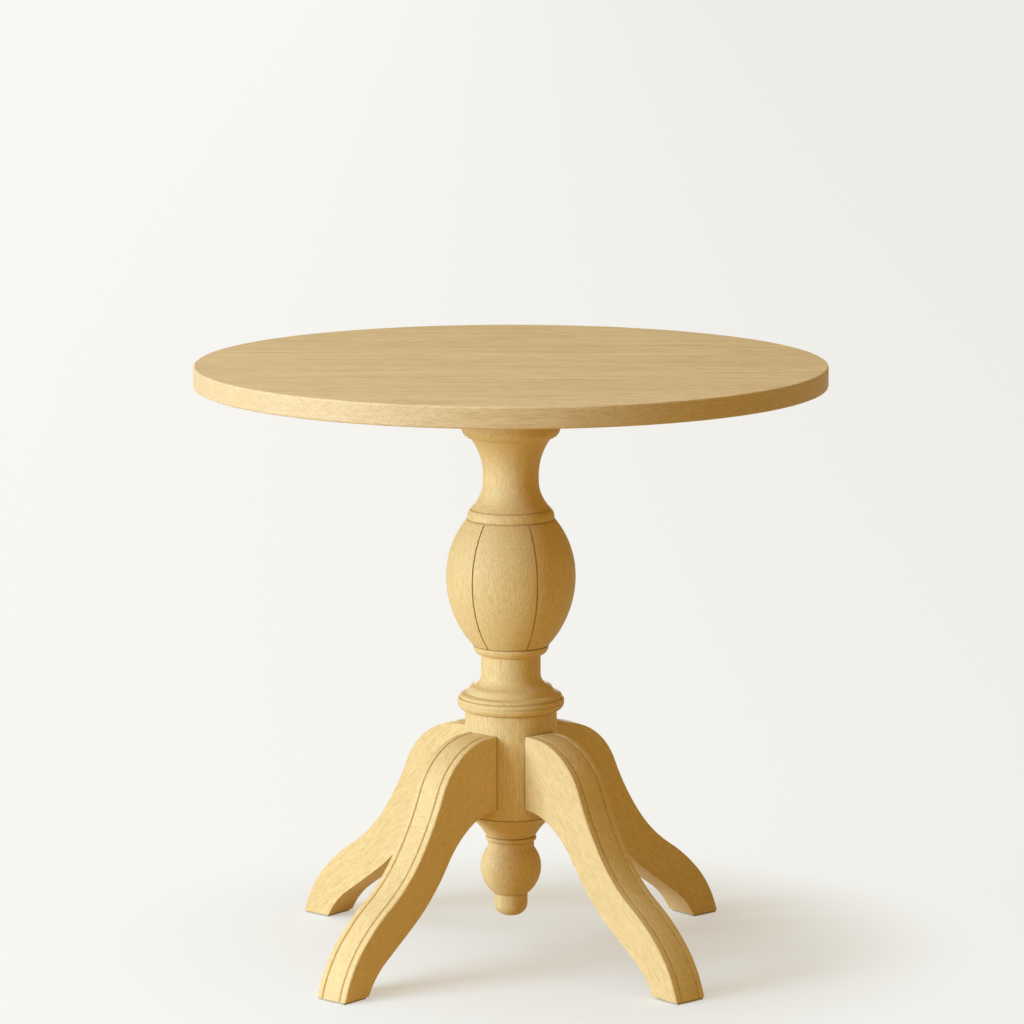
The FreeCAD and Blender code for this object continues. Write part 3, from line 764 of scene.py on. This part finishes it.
@dataclass
class Bearer:
    """The bearer under the boards, with its screws and washers."""

    shift: Triple = (0.2, 0.05, -0.3)

    def dress(self) -> None:
        """Gives the bearer crosswise grain and its fasteners plated steel."""
        paint_node("bearer", INNER_WOOD.material("bearer_wood", Grain(Fibre.CROSSWISE, self.shift)))
        plate = ZINC.material()
        paint_node("bearer_screws", plate)
        paint_node("bearer_washers", plate)


@dataclass(frozen=True)
class Lamp:
    """A soft lamp: its name, place, aim, width and height in metres, power and colour."""

    name: str
    place: Triple
    aim: Triple
    size: tuple[float, float]
    power: float
    colour: Colour

    def hang(self) -> None:
        """Hangs the lamp in the scene."""
        light = bpy.data.lights.new(self.name, "AREA")
        light.shape = "RECTANGLE"
        light.size, light.size_y = self.size
        light.energy = self.power
        light.color = self.colour
        lamp = bpy.data.objects.new(self.name, light)
        bpy.context.scene.collection.objects.link(lamp)
        lamp.visible_camera = False
        lamp.location = self.place
        aim = Vector(self.aim) - Vector(self.place)
        lamp.rotation_euler = aim.to_track_quat("-Z", "Y").to_euler()


@dataclass
class Studio:
    """A pale floor, soft lamps on the left, above and behind, an even fill and the camera."""

    floor_size: float = 40
    floor_colour: Colour = srgb(243, 247, 252)
    bounce_colour: Colour = (0.7, 0.48, 0.13)
    backdrop_colour: Colour = srgb(246, 245, 241)
    painted_lit_backdrop_colour: Colour = srgb(251, 250, 246)
    painted_shaded_backdrop_colour: Colour = srgb(239, 238, 233)
    backdrop_reach: float = 1.3
    near_glow: float = 0.45
    far_glow: float = 0.97
    near_radius: float = 0.2
    far_radius: float = 0.47
    fill_colour: Colour = (1.0, 0.72, 0.24)
    fill_strength: float = 0.405
    lamps: tuple[Lamp, ...] = (
        Lamp("key", (-4.45, -2.47, 1.45), (0, 0, 0.3), (2.2, 1.2), 284, (0.62, 0.81, 1.0)),
        Lamp("top_light", (-1.1, -0.5, 2.5), (0, 0, 0.57), (2.0, 2.0), 38, (0.78, 0.88, 1.0)),
        Lamp("back_light", (0.0, 30.0, 0.3), (0, 0, 0.3), (12.0, 0.5), 3200, (0.8, 0.92, 1.0)),
    )
    camera_place: Triple = (0.0011, -4.396, 1.145)
    camera_fall: float = 9.26
    lens: float = 164.74
    sensor_width: float = 36
    sight: float = 100

    def build(self) -> None:
        """Makes the floor, the lights and the camera."""
        self._floor()
        self._world()
        for lamp in self.lamps:
            lamp.hang()
        self._camera()

    def _floor(self) -> None:
        """Lays the floor: it takes shadows, and away from the table it fades into the backdrop.

        The backdrop is a little darker on the right than on the left: a painted shade.
        """
        mesh = bpy.data.meshes.new("floor")
        sheet = bmesh.new()
        bmesh.ops.create_grid(sheet, x_segments=1, y_segments=1, size=self.floor_size)
        sheet.to_mesh(mesh)
        sheet.free()
        floor = bpy.data.objects.new("floor", mesh)
        bpy.context.scene.collection.objects.link(floor)
        tree = Tree("floor")
        path = tree.node("ShaderNodeLightPath")
        seen = Field(tree, path.outputs["Is Camera Ray"])
        seen = seen.larger(Field(tree, path.outputs["Is Glossy Ray"]))
        seen = seen.larger(Field(tree, path.outputs["Is Transmission Ray"]))
        cloth = tree.mix(seen, self.bounce_colour, self.floor_colour)
        matt = tree.node("ShaderNodeBsdfDiffuse", inputs={"Color": cloth})
        east, north, _ = tree.split(tree.coordinates())
        # Painted shade: the backdrop darkens from left to right.
        painted_shade_share = east.step(-self.backdrop_reach, self.backdrop_reach)
        backdrop = tree.mix(painted_shade_share, self.painted_lit_backdrop_colour, self.painted_shaded_backdrop_colour)
        glow = tree.node("ShaderNodeEmission", inputs={"Color": backdrop, "Strength": 1.0})
        away = (east * east + north * north).root().step(self.near_radius, self.far_radius)
        share = away * (self.far_glow - self.near_glow) + self.near_glow
        layers = {0: seen * share, 1: matt.outputs[0], 2: glow.outputs[0]}
        mixed = tree.node("ShaderNodeMixShader", inputs=layers)
        tree.node("ShaderNodeOutputMaterial", inputs={"Surface": mixed.outputs[0]})
        coat(floor, tree.material)

    def _world(self) -> None:
        """Sets an even fill, and the pale backdrop that the camera sees."""
        world = bpy.data.worlds.new("studio")
        bpy.context.scene.world = world
        world.use_nodes = True
        nodes, links = world.node_tree.nodes, world.node_tree.links
        nodes.clear()
        fill = nodes.new("ShaderNodeBackground")
        fill.inputs["Color"].default_value = (*self.fill_colour, 1)
        fill.inputs["Strength"].default_value = self.fill_strength
        seen = nodes.new("ShaderNodeBackground")
        seen.inputs["Color"].default_value = (*self.backdrop_colour, 1)
        path = nodes.new("ShaderNodeLightPath")
        mixed = nodes.new("ShaderNodeMixShader")
        output = nodes.new("ShaderNodeOutputWorld")
        links.new(path.outputs["Is Camera Ray"], mixed.inputs[0])
        links.new(fill.outputs[0], mixed.inputs[1])
        links.new(seen.outputs[0], mixed.inputs[2])
        links.new(mixed.outputs[0], output.inputs["Surface"])

    def _camera(self) -> None:
        """Sets the camera up in front of the table, looking a little down."""
        lens = bpy.data.cameras.new("camera")
        lens.lens = self.lens
        lens.sensor_width = self.sensor_width
        lens.clip_end = self.sight
        camera = bpy.data.objects.new("camera", lens)
        bpy.context.scene.collection.objects.link(camera)
        camera.location = self.camera_place
        camera.rotation_euler = (math.radians(RIGHT_ANGLE - self.camera_fall), 0, 0)
        bpy.context.scene.camera = camera


def main() -> None:
    """Builds and dresses the table and its studio."""
    logging.basicConfig(level=logging.INFO, format="%(name)s: %(message)s")
    bpy.context.scene.view_settings.view_transform = "Standard"
    for part in (BoardedTop(), Pedestal(), Legs()):
        part.dress(part.build())
    Bearer().dress()
    Studio().build()


if __name__ == "__main__":
    main()
